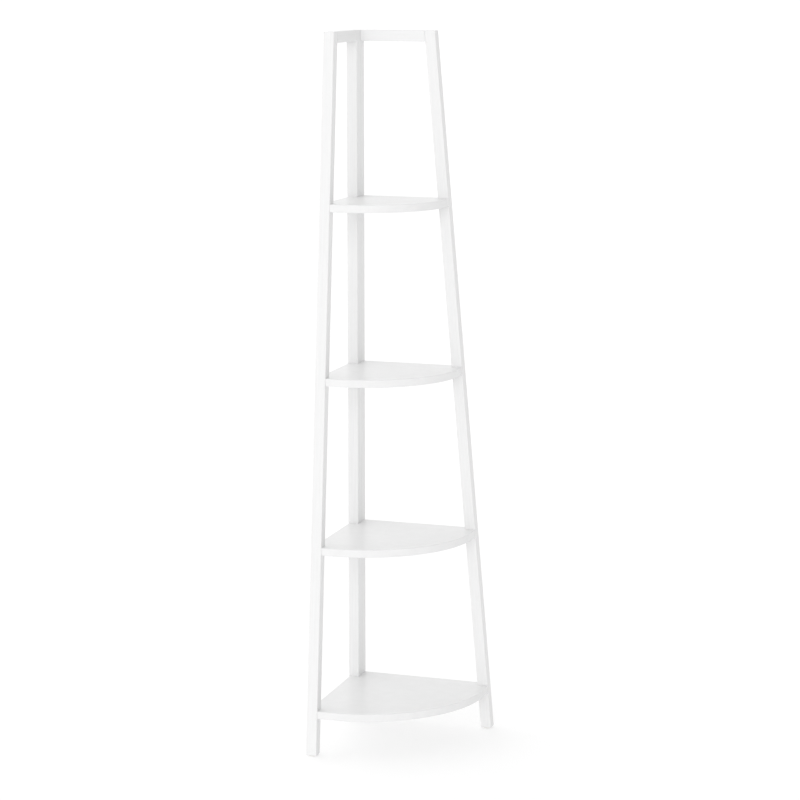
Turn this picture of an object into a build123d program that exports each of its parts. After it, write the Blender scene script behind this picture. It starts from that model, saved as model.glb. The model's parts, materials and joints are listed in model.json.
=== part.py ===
from build123d import *

import os
from math import atan2, cos, degrees
from typing import NamedTuple

# Corner ladder shelf.  Two ladder frames stand against the two walls of a room's corner and are
# screwed together at the rear post; their front legs lean back towards the corner, and four
# quarter-round shelves tie the legs and the post together.
#
# Millimetres, +Z up.  The origin is on the floor under the middle of the footprint.  The left
# frame's wall is the plane that faces +X, and the right frame's wall is the plane that faces -Y.

# ---- driving dimensions: whole object ----
HEIGHT = 1650.0            # floor to the top of the frames
FOOT_REACH = 351.0         # wall corner to a leg's outer face, at the floor
TOP_REACH = 205.5          # wall corner to a leg's outer face, at the top

# ---- frames ----
STOCK = 25.4               # square section of legs, stiles and rails
FRAME_EASE = 1.5           # rounding of the frame members' edges

# ---- shelves ----
SHELF_TOPS = {             # height of each shelf's upper face
    "bottom_shelf": 107.0,
    "lower_shelf": 486.0,
    "upper_shelf": 873.0,
    "top_shelf": 1266.0,
}
SHELF_THICKNESS = 18.0
SHELF_FLAT = 50.8          # wall corner to where the straight ends of the front edge meet its arc
SHELF_INSET = 3.0          # gap between a shelf's straight edges and the walls
SHELF_EASE = 1.5           # rounding of the shelves' upper and lower edges
SHELF_FIT = 0.2            # gap between a shelf's notches and the members in them

# ---- countersunk wood screws ----
SCREW_DIAMETER = 4.0
SCREW_HEAD = 8.0
SCREW_POINT = 5.0          # length of the conical point
SCREW_FIT = 0.15           # gap around a screw in its hole
SHELF_SCREW_LENGTH = 50.0
STILE_SCREW_LENGTH = 40.0
SCREW_SINK = 0.3           # screw heads lie this far below the surface
COUNTERSINK_ANGLE = 90.0
CROSS_LENGTH = 4.4         # cross recess in the head
CROSS_WIDTH = 0.9
CROSS_DEPTH = 1.8

# ---- dowels in the rail joints ----
DOWEL_DIAMETER = 6.0
DOWEL_LENGTH = 30.0
DOWEL_SPACING = 12.0
DOWEL_CHAMFER = 0.8
DOWEL_FIT = 0.1            # gap around a dowel
DOWEL_END_GAP = 1.0        # glue space beyond each end of a dowel

# ---- push-in foot glides ----
GLIDE_DIAMETER = 19.0
GLIDE_HEIGHT = 2.5
GLIDE_EASE = 0.8
PLUG_DIAMETER = 6.0
PLUG_LENGTH = 16.0
PLUG_CHAMFER = 0.8
PLUG_FIT = 0.1

# ---- worked out from the above ----
LEAN = atan2(FOOT_REACH - TOP_REACH, HEIGHT)
LEG_RUN = STOCK / cos(LEAN)                  # level depth of a leaning leg
POST_DEPTH = 2 * STOCK                       # the two stiles, one in front of the other
CORNER_X = -FOOT_REACH / 2
CORNER_Y = FOOT_REACH / 2


class Frame(NamedTuple):
    """One ladder frame and the wall that it stands against."""

    name: str
    wall: Plane            # outward face: local x runs along the wall, local y is height
    away: int              # sign of local x going away from the wall corner
    stile_start: float     # wall corner to the stile's rear face


LEFT = Frame(
    name="left",
    wall=Plane(origin=(CORNER_X, CORNER_Y, 0), x_dir=(0, -1, 0), z_dir=(-1, 0, 0)),
    away=1,
    stile_start=STOCK,
)
RIGHT = Frame(
    name="right",
    wall=Plane(origin=(CORNER_X, CORNER_Y, 0), x_dir=(-1, 0, 0), z_dir=(0, 1, 0)),
    away=-1,
    stile_start=0.0,
)


# ---- places ----
def reach(z):
    """Wall corner to a leg's outer face at height z."""
    return FOOT_REACH + (TOP_REACH - FOOT_REACH) * z / HEIGHT


def leg_middle(z):
    """Wall corner to a leg's centre line at height z."""
    return reach(z) - LEG_RUN / 2


def in_room(from_right_wall, from_left_wall):
    """Point of the plan at the given distances from the two walls."""
    return (CORNER_X + from_left_wall, CORNER_Y - from_right_wall)


def on_wall(frame, along, z):
    """Location on a frame's wall face, its z axis pointing out of the face."""
    point = frame.wall.from_local_coords((frame.away * along, z, 0))
    return Plane(origin=point, x_dir=frame.wall.x_dir, z_dir=frame.wall.z_dir).location


def leg_screw_spot(frame, shelf_top):
    z = shelf_top - SHELF_THICKNESS / 2
    return on_wall(frame, leg_middle(z), z)


def stile_screw_spot(frame, shelf_top):
    """Both stiles are fixed from the left wall's side, straight into the shelf's rear notch."""
    return on_wall(LEFT, frame.stile_start + STOCK / 2, shelf_top - SHELF_THICKNESS / 2)


def shelf_screw_spots(shelf_top):
    spots = [leg_screw_spot(frame, shelf_top) for frame in (LEFT, RIGHT)]
    spots += [stile_screw_spot(frame, shelf_top) for frame in (LEFT, RIGHT)]
    return spots


def stile_joining_spots():
    """Half-way up each bay, and half-way from the top shelf to the top of the frames."""
    levels = list(SHELF_TOPS.values()) + [HEIGHT]
    heights = [(low + high) / 2 for low, high in zip(levels, levels[1:])]
    return [on_wall(RIGHT, STOCK / 2, z) for z in heights]


def stile_face(frame):
    """Wall corner to the face of the post that the frame's top rail butts against."""
    return POST_DEPTH if frame is LEFT else STOCK


def dowel_spots(frame, at_leg):
    """Centres of the two dowels in one rail joint, their z axes along the rail."""
    spots = []
    for step in (-0.5, 0.5):
        z = HEIGHT - STOCK / 2 + step * DOWEL_SPACING
        along = reach(z) - LEG_RUN if at_leg else stile_face(frame)
        centre = frame.wall.from_local_coords((frame.away * along, z, -STOCK / 2))
        spots.append(Plane(origin=centre, z_dir=frame.wall.x_dir).location)
    return spots


def stile_foot(frame):
    return Location((*in_room(frame.stile_start + STOCK / 2, STOCK / 2), GLIDE_HEIGHT))


def leg_foot(frame):
    along = leg_middle(GLIDE_HEIGHT)
    plan = in_room(along, STOCK / 2) if frame is LEFT else in_room(STOCK / 2, along)
    return Location((*plan, GLIDE_HEIGHT))


# ---- cuts shared by several members: each is used inside the member's own block ----
def cut_screw_holes(spots):
    with Locations(*spots):
        CounterSinkHole(
            radius=SCREW_DIAMETER / 2 + SCREW_FIT,
            counter_sink_radius=SCREW_HEAD / 2 + SCREW_FIT + SCREW_SINK,
            depth=STOCK,
            counter_sink_angle=COUNTERSINK_ANGLE,
        )


def cut_pilot_holes(spots, screw_length):
    with Locations(*spots):
        Hole(radius=SCREW_DIAMETER / 2 + SCREW_FIT, depth=screw_length + SCREW_SINK + SCREW_FIT)


def cut_dowel_holes(spots):
    with Locations(*spots):
        Cylinder(
            radius=DOWEL_DIAMETER / 2 + DOWEL_FIT,
            height=DOWEL_LENGTH + 2 * DOWEL_END_GAP,
            mode=Mode.SUBTRACT,
        )


def cut_plug_hole(spot):
    with Locations(spot):
        Cylinder(
            radius=PLUG_DIAMETER / 2 + PLUG_FIT,
            height=PLUG_LENGTH + DOWEL_END_GAP,
            align=(Align.CENTER, Align.CENTER, Align.MIN),
            mode=Mode.SUBTRACT,
        )


def finish(builder, name):
    """Label a finished piece and write it to its own file."""
    builder.part.label = name
    export_step(builder.part, f"parts/{name}.step")


# ---- frame members ----
def make_leg(frame):
    """Leaning leg, cut level at the foot and at the top."""
    with BuildPart() as leg:
        with BuildSketch(frame.wall):
            with BuildLine():
                Polyline(
                    (frame.away * reach(GLIDE_HEIGHT), GLIDE_HEIGHT),
                    (frame.away * reach(HEIGHT), HEIGHT),
                    (frame.away * (reach(HEIGHT) - LEG_RUN), HEIGHT),
                    (frame.away * (reach(GLIDE_HEIGHT) - LEG_RUN), GLIDE_HEIGHT),
                    close=True,
                )
            make_face()
        extrude(amount=-STOCK)
        fillet(leg.edges(), FRAME_EASE)
        cut_screw_holes([leg_screw_spot(frame, top) for top in SHELF_TOPS.values()])
        cut_dowel_holes(dowel_spots(frame, at_leg=True))
        cut_plug_hole(leg_foot(frame))
    finish(leg, f"{frame.name}_leg")


def make_stile(frame):
    """Upright at the wall corner; the right stile stands behind the left one."""
    near_corner = in_room(frame.stile_start + STOCK / 2, STOCK / 2)
    with BuildPart() as stile:
        with BuildSketch(Plane.XY.offset(GLIDE_HEIGHT)):
            with Locations(near_corner):
                Rectangle(STOCK, STOCK)
        extrude(amount=HEIGHT - GLIDE_HEIGHT)
        fillet(stile.edges(), FRAME_EASE)
        cut_screw_holes([stile_screw_spot(frame, top) for top in SHELF_TOPS.values()])
        if frame is RIGHT:
            cut_screw_holes(stile_joining_spots())
        else:
            cut_pilot_holes(stile_joining_spots(), STILE_SCREW_LENGTH)
        cut_dowel_holes(dowel_spots(frame, at_leg=False))
        cut_plug_hole(stile_foot(frame))
    finish(stile, f"{frame.name}_rear_stile")


def make_top_rail(frame):
    """Level rail from the post to the leg, its front end cut to the leg's lean."""
    low = HEIGHT - STOCK
    with BuildPart() as rail:
        with BuildSketch(frame.wall):
            with BuildLine():
                Polyline(
                    (frame.away * stile_face(frame), low),
                    (frame.away * (reach(low) - LEG_RUN), low),
                    (frame.away * (reach(HEIGHT) - LEG_RUN), HEIGHT),
                    (frame.away * stile_face(frame), HEIGHT),
                    close=True,
                )
            make_face()
        extrude(amount=-STOCK)
        long_edges = rail.edges().filter_by(Axis((0, 0, 0), frame.wall.x_dir))
        fillet(long_edges, FRAME_EASE)
        cut_dowel_holes(dowel_spots(frame, at_leg=False))
        cut_dowel_holes(dowel_spots(frame, at_leg=True))
    finish(rail, f"{frame.name}_top_rail")


# ---- shelves ----
def cut_post_notch(bottom):
    with Locations((*in_room(0, 0), bottom)):
        Box(
            STOCK + SHELF_FIT,
            POST_DEPTH + SHELF_FIT,
            SHELF_THICKNESS,
            align=(Align.MIN, Align.MAX, Align.MIN),
            mode=Mode.SUBTRACT,
        )


def leg_notch_outline(frame, bottom, top):
    """Open notch for a leg, seen from its wall: the rear face slopes with the leg."""
    return [
        (frame.away * (reach(bottom) - LEG_RUN - SHELF_FIT), bottom),
        (frame.away * FOOT_REACH, bottom),
        (frame.away * FOOT_REACH, top),
        (frame.away * (reach(top) - LEG_RUN - SHELF_FIT), top),
    ]


def make_shelf(name, top):
    """Quarter-round shelf, flush with the legs' outer faces at its upper face."""
    bottom = top - SHELF_THICKNESS
    edge = reach(top)
    with BuildPart() as shelf:
        with BuildSketch(Plane.XY.offset(bottom)):
            with BuildLine():
                Polyline(
                    in_room(edge, SHELF_FLAT),
                    in_room(edge, SHELF_INSET),
                    in_room(SHELF_INSET, SHELF_INSET),
                    in_room(SHELF_INSET, edge),
                    in_room(SHELF_FLAT, edge),
                )
                CenterArc(
                    center=in_room(SHELF_FLAT, SHELF_FLAT),
                    radius=edge - SHELF_FLAT,
                    start_angle=-90,
                    arc_size=90,
                )
            make_face()
        extrude(amount=SHELF_THICKNESS)
        levels = shelf.edges().group_by(Axis.Z)
        fillet(levels[0] + levels[-1], SHELF_EASE)
        cut_post_notch(bottom)
        for frame in (LEFT, RIGHT):
            with BuildSketch(frame.wall):
                with BuildLine():
                    Polyline(*leg_notch_outline(frame, bottom, top), close=True)
                make_face()
            extrude(amount=-(STOCK + SHELF_FIT), mode=Mode.SUBTRACT)
        cut_pilot_holes(shelf_screw_spots(top), SHELF_SCREW_LENGTH)
    finish(shelf, name)


# ---- fasteners ----
def make_screw(length):
    """Countersunk screw with a cross recess; its head lies in the plane z = 0, point down."""
    shank = SCREW_DIAMETER / 2
    head = SCREW_HEAD / 2
    with BuildPart() as screw:
        with BuildSketch(Plane.XZ):
            with BuildLine():
                Polyline(
                    (0, 0),
                    (head, 0),
                    (shank, shank - head),
                    (shank, SCREW_POINT - length),
                    (0, -length),
                    close=True,
                )
            make_face()
        revolve(axis=Axis.Z)
        for turn in (0, 90):
            with Locations(Rotation(0, 0, turn)):
                Box(
                    CROSS_LENGTH,
                    CROSS_WIDTH,
                    CROSS_DEPTH,
                    align=(Align.CENTER, Align.CENTER, Align.MAX),
                    mode=Mode.SUBTRACT,
                )
    return screw.part


def make_screws(name, spots, length):
    """One screw at each spot, its head sunk just below the surface."""
    screw = make_screw(length)
    with BuildPart() as screws:
        for spot in spots:
            add(screw.moved(spot * Pos(0, 0, -SCREW_SINK)))
    finish(screws, name)


def make_rail_dowels(frame):
    """Two dowels in each of a rail's two joints."""
    with BuildPart() as dowels:
        with Locations(*dowel_spots(frame, at_leg=False), *dowel_spots(frame, at_leg=True)):
            Cylinder(radius=DOWEL_DIAMETER / 2, height=DOWEL_LENGTH)
        chamfer(dowels.edges().filter_by(GeomType.CIRCLE), DOWEL_CHAMFER)
    finish(dowels, f"{frame.name}_rail_dowels")


# ---- foot glides ----
def make_foot_glide(name, spot):
    """Nylon disc on the floor with a plug up into the member; the spot is the member's foot."""
    with BuildPart() as glide:
        with Locations(spot):
            Cylinder(
                radius=GLIDE_DIAMETER / 2,
                height=GLIDE_HEIGHT,
                align=(Align.CENTER, Align.CENTER, Align.MAX),
            )
        fillet(glide.edges().sort_by(Axis.Z)[0], GLIDE_EASE)
        with Locations(spot):
            Cylinder(
                radius=PLUG_DIAMETER / 2,
                height=PLUG_LENGTH,
                align=(Align.CENTER, Align.CENTER, Align.MIN),
            )
        chamfer(glide.edges().sort_by(Axis.Z)[-1], PLUG_CHAMFER)
    finish(glide, name)


os.makedirs("parts", exist_ok=True)

for ladder in (LEFT, RIGHT):
    make_leg(ladder)
    make_stile(ladder)
    make_top_rail(ladder)
    make_rail_dowels(ladder)
    make_foot_glide(f"{ladder.name}_leg_glide", leg_foot(ladder))
    make_foot_glide(f"{ladder.name}_stile_glide", stile_foot(ladder))

for shelf_name, shelf_top in SHELF_TOPS.items():
    make_shelf(shelf_name, shelf_top)
    make_screws(f"{shelf_name}_screws", shelf_screw_spots(shelf_top), SHELF_SCREW_LENGTH)

make_screws("stile_joining_screws", stile_joining_spots(), STILE_SCREW_LENGTH)
print(f"lean of the legs {degrees(LEAN):.2f} degrees")
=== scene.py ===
import json
import math

import bpy
from mathutils import Euler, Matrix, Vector


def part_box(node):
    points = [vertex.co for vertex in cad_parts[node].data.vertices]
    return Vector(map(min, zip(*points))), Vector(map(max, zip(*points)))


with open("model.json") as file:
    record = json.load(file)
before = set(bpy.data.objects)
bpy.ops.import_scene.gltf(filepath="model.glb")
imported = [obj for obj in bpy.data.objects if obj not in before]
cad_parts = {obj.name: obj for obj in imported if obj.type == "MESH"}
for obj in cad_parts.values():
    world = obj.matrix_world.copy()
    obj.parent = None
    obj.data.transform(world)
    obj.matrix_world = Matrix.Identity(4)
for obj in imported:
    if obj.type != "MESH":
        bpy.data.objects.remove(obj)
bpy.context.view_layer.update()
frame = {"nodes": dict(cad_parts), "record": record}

# A white painted corner ladder shelf.  Every piece is the CAD model's own: this script gives each
# material slot its paint, metal, wood or nylon, and sets up the studio.  Lengths are in metres.

# ---- colours ----
WHITE = (1.0, 1.0, 1.0)
PAINT = (0.785, 0.785, 0.785)      # the white of frame and shelves
ZINC_BLUE = (0.62, 0.64, 0.68)
ZINC_YELLOW = (0.78, 0.77, 0.72)
BEECH_FLECK = (0.52, 0.36, 0.22)
BEECH = (0.74, 0.57, 0.39)
NYLON_SHADE = (0.74, 0.73, 0.69)
NYLON = (0.8, 0.79, 0.75)

# ---- wood grain: how long it is, and the turns that lay it from +Z along a member ----
GRAIN_STRETCH = 35.0               # how many times longer than wide the grain is
UPRIGHT = (0.0, 0.0, 0.0)
ALONG_Y = (math.pi / 2, 0.0, 0.0)
ALONG_X = (0.0, math.pi / 2, 0.0)

# ---- camera, floor and surroundings ----
EYE = Vector((1.689, -5.129, 1.799))
YAW = math.radians(18.27)          # the camera looks along +Y, turned this far towards -X
PITCH = math.radians(10.32)        # and this far down
LENS_MM = 107.7
FLOOR_SIZE = 400.0
FLOOR_DROP = 0.0002                # keeps the floor just under the glides
FLOOR_WHITE = (0.6, 0.6, 0.6)
FLOOR_GLOW = 0.42                  # lifts the lit floor to white and keeps its shadows faint
SKY_HORIZON = 1.0
SKY_OVERHEAD = 0.92
SKY_RIGHT_LOSS = 0.35              # how much dimmer the surroundings are in the direction of +X


# ---- small helpers for node trees ----
def new_material(name):
    material = bpy.data.materials.new(name)
    material.use_nodes = True
    tree = material.node_tree
    shader = tree.nodes["Principled BSDF"]
    return material, tree, shader


def opaque(colour):
    return (*colour, 1.0)


def shaded(colour, factor):
    return tuple(channel * factor for channel in colour)


def add_node(tree, kind, **inputs):
    """A node with some of its input sockets set by name."""
    node = tree.nodes.new(kind)
    for socket, value in inputs.items():
        node.inputs[socket].default_value = value
    return node


def object_coordinates(tree, turn=UPRIGHT, stretch=(1.0, 1.0, 1.0)):
    """Coordinates in the model's frame; a texture on them is drawn out by stretch, then turned."""
    source = tree.nodes.new("ShaderNodeTexCoord")
    mapping = add_node(tree, "ShaderNodeMapping", Rotation=turn, Scale=stretch)
    mapping.vector_type = "TEXTURE"
    tree.links.new(source.outputs["Object"], mapping.inputs["Vector"])
    return mapping.outputs["Vector"]


def noise(tree, vector, scale, detail=2.0, roughness=0.5):
    node = add_node(tree, "ShaderNodeTexNoise", Scale=scale, Detail=detail, Roughness=roughness)
    tree.links.new(vector, node.inputs["Vector"])
    return node.outputs["Fac"]


def remap(tree, value, low, high):
    """A 0..1 value brought to the range low..high."""
    node = tree.nodes.new("ShaderNodeMapRange")
    node.inputs["To Min"].default_value = low
    node.inputs["To Max"].default_value = high
    tree.links.new(value, node.inputs["Value"])
    return node.outputs["Result"]


def bump(tree, height, distance, strength, under=None):
    """A bump node, laid over another one's normal where one is given."""
    node = add_node(tree, "ShaderNodeBump", Strength=strength, Distance=distance)
    tree.links.new(height, node.inputs["Height"])
    if under is not None:
        tree.links.new(under, node.inputs["Normal"])
    return node.outputs["Normal"]


def tint(tree, value, dark, light):
    """A colour between two, by a 0..1 value."""
    ramp = tree.nodes.new("ShaderNodeValToRGB")
    ramp.color_ramp.elements[0].color = opaque(dark)
    ramp.color_ramp.elements[1].color = opaque(light)
    tree.links.new(value, ramp.inputs["Fac"])
    return ramp.outputs["Color"]


# ---- materials ----
def painted_timber(name, turn):
    """Satin paint over solid wood: the grain shows through along the member, over orange peel."""
    material, tree, shader = new_material(name)
    along = object_coordinates(tree, turn=turn, stretch=(1.0, 1.0, GRAIN_STRETCH))
    even = object_coordinates(tree)
    grain = noise(tree, along, scale=260.0, detail=5.0, roughness=0.65)
    peel = noise(tree, even, scale=650.0, detail=1.0)
    tone = tint(tree, grain, shaded(PAINT, 0.94), shaded(PAINT, 1.06))
    tree.links.new(tone, shader.inputs["Base Color"])
    tree.links.new(remap(tree, grain, low=0.3, high=0.5), shader.inputs["Roughness"])
    relief = bump(tree, grain, distance=0.0003, strength=0.6)
    relief = bump(tree, peel, distance=0.0001, strength=0.4, under=relief)
    tree.links.new(relief, shader.inputs["Normal"])
    shader.inputs["Specular IOR Level"].default_value = 0.3
    shader.inputs["Coat Weight"].default_value = 0.08
    shader.inputs["Coat Roughness"].default_value = 0.3
    return material


def painted_board(name):
    """Satin paint rolled on a smooth board: orange peel, cloudy cover and a faint waviness."""
    material, tree, shader = new_material(name)
    even = object_coordinates(tree)
    peel = noise(tree, even, scale=420.0, detail=2.0)
    wave = noise(tree, even, scale=30.0, detail=1.0)
    cloud = noise(tree, even, scale=40.0, detail=5.0, roughness=0.6)
    tone = tint(tree, cloud, shaded(PAINT, 0.96), shaded(PAINT, 1.04))
    tree.links.new(tone, shader.inputs["Base Color"])
    tree.links.new(remap(tree, peel, low=0.28, high=0.44), shader.inputs["Roughness"])
    relief = bump(tree, wave, distance=0.0006, strength=0.2)
    relief = bump(tree, peel, distance=0.0002, strength=0.5, under=relief)
    tree.links.new(relief, shader.inputs["Normal"])
    shader.inputs["Specular IOR Level"].default_value = 0.3
    shader.inputs["Coat Weight"].default_value = 0.1
    shader.inputs["Coat Roughness"].default_value = 0.25
    return material


def zinc_steel(name):
    """Bright zinc plating with fine scratches and a slight blue-yellow mottle."""
    material, tree, shader = new_material(name)
    even = object_coordinates(tree)
    mottle = noise(tree, even, scale=900.0, detail=3.0)
    brushed = object_coordinates(tree, stretch=(1.0, 7.0, 1.0))
    scratches = noise(tree, brushed, scale=4000.0)
    tone = tint(tree, mottle, ZINC_BLUE, ZINC_YELLOW)
    tree.links.new(tone, shader.inputs["Base Color"])
    tree.links.new(remap(tree, mottle, low=0.22, high=0.4), shader.inputs["Roughness"])
    tree.links.new(bump(tree, scratches, distance=0.00003, strength=0.4), shader.inputs["Normal"])
    shader.inputs["Metallic"].default_value = 1.0
    return material


def raw_beech(name):
    """Unfinished beech: pale pinkish wood, with fine flecks along the dowels, which lie level."""
    material, tree, shader = new_material(name)
    level = object_coordinates(tree, stretch=(5.0, 5.0, 1.0))
    fleck = noise(tree, level, scale=900.0, detail=4.0, roughness=0.6)
    tone = tint(tree, fleck, BEECH_FLECK, BEECH)
    tree.links.new(tone, shader.inputs["Base Color"])
    tree.links.new(bump(tree, fleck, distance=0.0001, strength=0.4), shader.inputs["Normal"])
    shader.inputs["Roughness"].default_value = 0.7
    return material


def moulded_nylon(name):
    """Natural nylon, off-white and finely textured by its mould."""
    material, tree, shader = new_material(name)
    even = object_coordinates(tree)
    texture = noise(tree, even, scale=1800.0, detail=2.0)
    tone = tint(tree, texture, NYLON_SHADE, NYLON)
    tree.links.new(tone, shader.inputs["Base Color"])
    tree.links.new(remap(tree, texture, low=0.4, high=0.55), shader.inputs["Roughness"])
    tree.links.new(bump(tree, texture, distance=0.00004, strength=0.4), shader.inputs["Normal"])
    return material


def leg_lean():
    """Angle of a leg from upright, from the boxes of a leg and a stile."""
    low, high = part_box("right_leg")
    stile_low, stile_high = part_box("right_rear_stile")
    section = stile_high.x - stile_low.x
    return math.atan2(high.x - low.x - section, high.z - low.z)


def paint_everything():
    """Each frame member gets paint with its own run of grain, and the rest their slot's finish."""
    lean = leg_lean()
    stile_paint = painted_timber("paint_stile", UPRIGHT)
    timber = {
        "left_leg": painted_timber("paint_left_leg", (-lean, 0.0, 0.0)),
        "right_leg": painted_timber("paint_right_leg", (0.0, -lean, 0.0)),
        "left_rear_stile": stile_paint,
        "right_rear_stile": stile_paint,
        "left_top_rail": painted_timber("paint_left_rail", ALONG_Y),
        "right_top_rail": painted_timber("paint_right_rail", ALONG_X),
    }
    by_slot = {
        "shelf_paint": painted_board("paint_shelf"),
        "screw_steel": zinc_steel("zinc"),
        "dowel_beech": raw_beech("beech"),
        "glide_nylon": moulded_nylon("nylon"),
    }
    slots = {part["node"]: part["material_slot"] for part in frame["record"]["subparts"]}
    for node, obj in frame["nodes"].items():
        material = timber[node] if node in timber else by_slot[slots[node]]
        for place in obj.material_slots:
            place.material = material


# ---- studio ----
def build_floor():
    bpy.ops.mesh.primitive_plane_add(size=FLOOR_SIZE, location=(0.0, 0.0, -FLOOR_DROP))
    floor = bpy.context.object
    floor.name = "floor"
    material, tree, shader = new_material("floor_white")
    shader.inputs["Base Color"].default_value = opaque(FLOOR_WHITE)
    shader.inputs["Roughness"].default_value = 0.9
    shader.inputs["Specular IOR Level"].default_value = 0.1
    shader.inputs["Emission Color"].default_value = opaque(WHITE)
    shader.inputs["Emission Strength"].default_value = FLOOR_GLOW
    floor.data.materials.append(material)


def sky_strength(tree):
    """Brightness of the surroundings by direction: dimmer overhead and on the right."""
    direction = tree.nodes.new("ShaderNodeTexCoord")
    parts = tree.nodes.new("ShaderNodeSeparateXYZ")
    tree.links.new(direction.outputs["Generated"], parts.inputs["Vector"])
    by_height = remap(tree, parts.outputs["Z"], SKY_HORIZON, SKY_OVERHEAD)
    loss_on_right = remap(tree, parts.outputs["X"], 0.0, SKY_RIGHT_LOSS)
    strength = tree.nodes.new("ShaderNodeMath")
    strength.operation = "SUBTRACT"
    tree.links.new(by_height, strength.inputs[0])
    tree.links.new(loss_on_right, strength.inputs[1])
    return strength.outputs["Value"]


def build_world():
    """White light from all round, while the camera itself sees a plain white backdrop."""
    world = bpy.data.worlds.new("studio")
    world.use_nodes = True
    bpy.context.scene.world = world
    tree = world.node_tree
    lighting = tree.nodes["Background"]
    lighting.inputs["Color"].default_value = opaque(WHITE)
    tree.links.new(sky_strength(tree), lighting.inputs["Strength"])
    backdrop = add_node(tree, "ShaderNodeBackground", Color=opaque(WHITE), Strength=1.0)
    path = tree.nodes.new("ShaderNodeLightPath")
    choice = tree.nodes.new("ShaderNodeMixShader")
    tree.links.new(path.outputs["Is Camera Ray"], choice.inputs["Fac"])
    tree.links.new(lighting.outputs["Background"], choice.inputs[1])
    tree.links.new(backdrop.outputs["Background"], choice.inputs[2])
    tree.links.new(choice.outputs["Shader"], tree.nodes["World Output"].inputs["Surface"])


def add_sun(name, azimuth, elevation, strength, softness):
    """A sun that stands azimuth degrees from -Y towards -X, and elevation degrees up."""
    light = bpy.data.lights.new(name, "SUN")
    light.energy = strength
    light.angle = math.radians(softness)
    sun = bpy.data.objects.new(name, light)
    sun.rotation_euler = Euler((math.radians(90 - elevation), 0.0, -math.radians(azimuth)))
    bpy.context.scene.collection.objects.link(sun)


def build_camera():
    data = bpy.data.cameras.new("camera")
    data.lens = LENS_MM
    data.clip_end = 2 * FLOOR_SIZE
    camera = bpy.data.objects.new("camera", data)
    camera.location = EYE
    camera.rotation_euler = Euler((math.pi / 2 - PITCH, 0.0, YAW))
    bpy.context.scene.collection.objects.link(camera)
    bpy.context.scene.camera = camera


paint_everything()
build_floor()
build_world()
add_sun("front_light", azimuth=-12.0, elevation=9.0, strength=0.92, softness=45.0)
add_sun("side_light", azimuth=110.0, elevation=20.0, strength=0.78, softness=100.0)
build_camera()
bpy.context.scene.view_settings.view_transform = "Standard"
